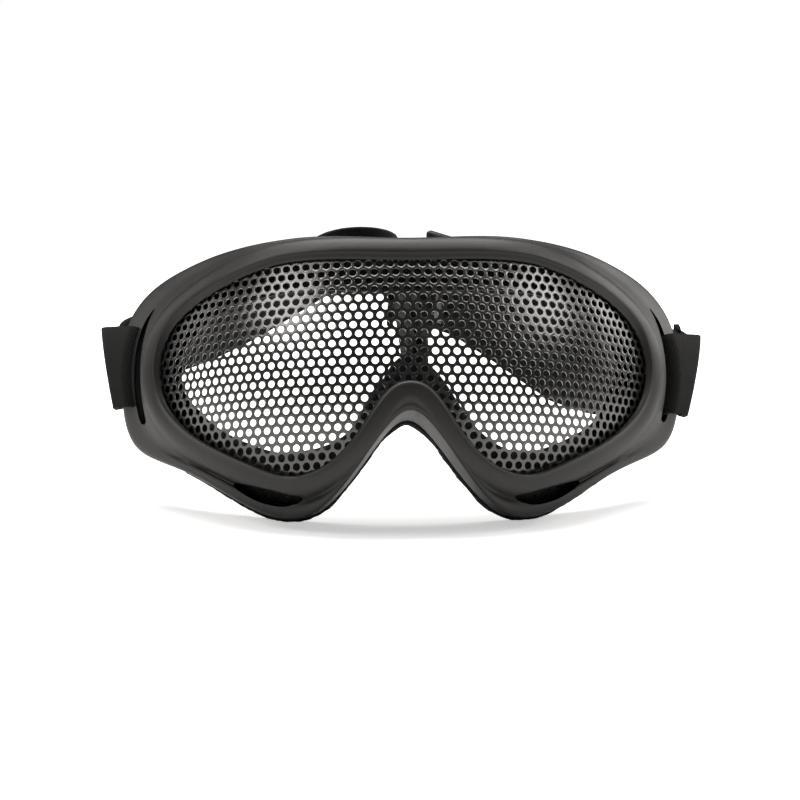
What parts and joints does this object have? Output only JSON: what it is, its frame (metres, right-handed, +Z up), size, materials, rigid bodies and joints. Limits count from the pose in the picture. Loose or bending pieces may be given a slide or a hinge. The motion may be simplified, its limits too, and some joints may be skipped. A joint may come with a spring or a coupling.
{
  "type": "mesh safety goggles",
  "caption": "Wide black mesh safety goggles: soft moulded frame, domed perforated steel lens, face foam, foam-backed vents and a webbing strap folded in behind.",
  "frame": {"origin": "on the floor, under the middle of the whole part's box, strap included", "axes": "+X to the wearer's left (the viewer's right), +Y from the lens towards the face and strap, +Z up as the goggles stand, leaning back 16 degrees"},
  "size_m": [0.1832, 0.168, 0.0847],
  "materials": {
    "frame_plastic": "satin flexible moulding, black-grey",
    "lens_mesh": "black gloss paint on perforated steel",
    "foam": "open-cell black foam",
    "webbing": "woven black elastic webbing",
    "slider_plastic": "grey-black gloss moulding"
  },
  "bodies": {
    "goggles": {"frame": "frame_plastic", "mesh_lens": "lens_mesh", "face_foam": "foam", "lower_vent_foam_right": "foam", "lower_vent_foam_left": "foam", "top_vent_foam": "foam", "strap_end_right": "webbing", "strap_end_left": "webbing"},
    "strap": {"strap_band": "webbing"},
    "slider": {"strap_slider": "slider_plastic"}
  },
  "joints": [
    {"name": "strap_tilt", "type": "hinge", "parent": "goggles", "child": "strap", "pos_m": [0, -0.02232, 0.03937], "axis": [1, 0, 0], "range_deg": [-15, 20]},
    {"name": "slider_slide", "type": "slide", "parent": "strap", "child": "slider", "axis": [0.7165, -0.6671, -0.204], "range_m": [0, 0.05]}
  ]
}
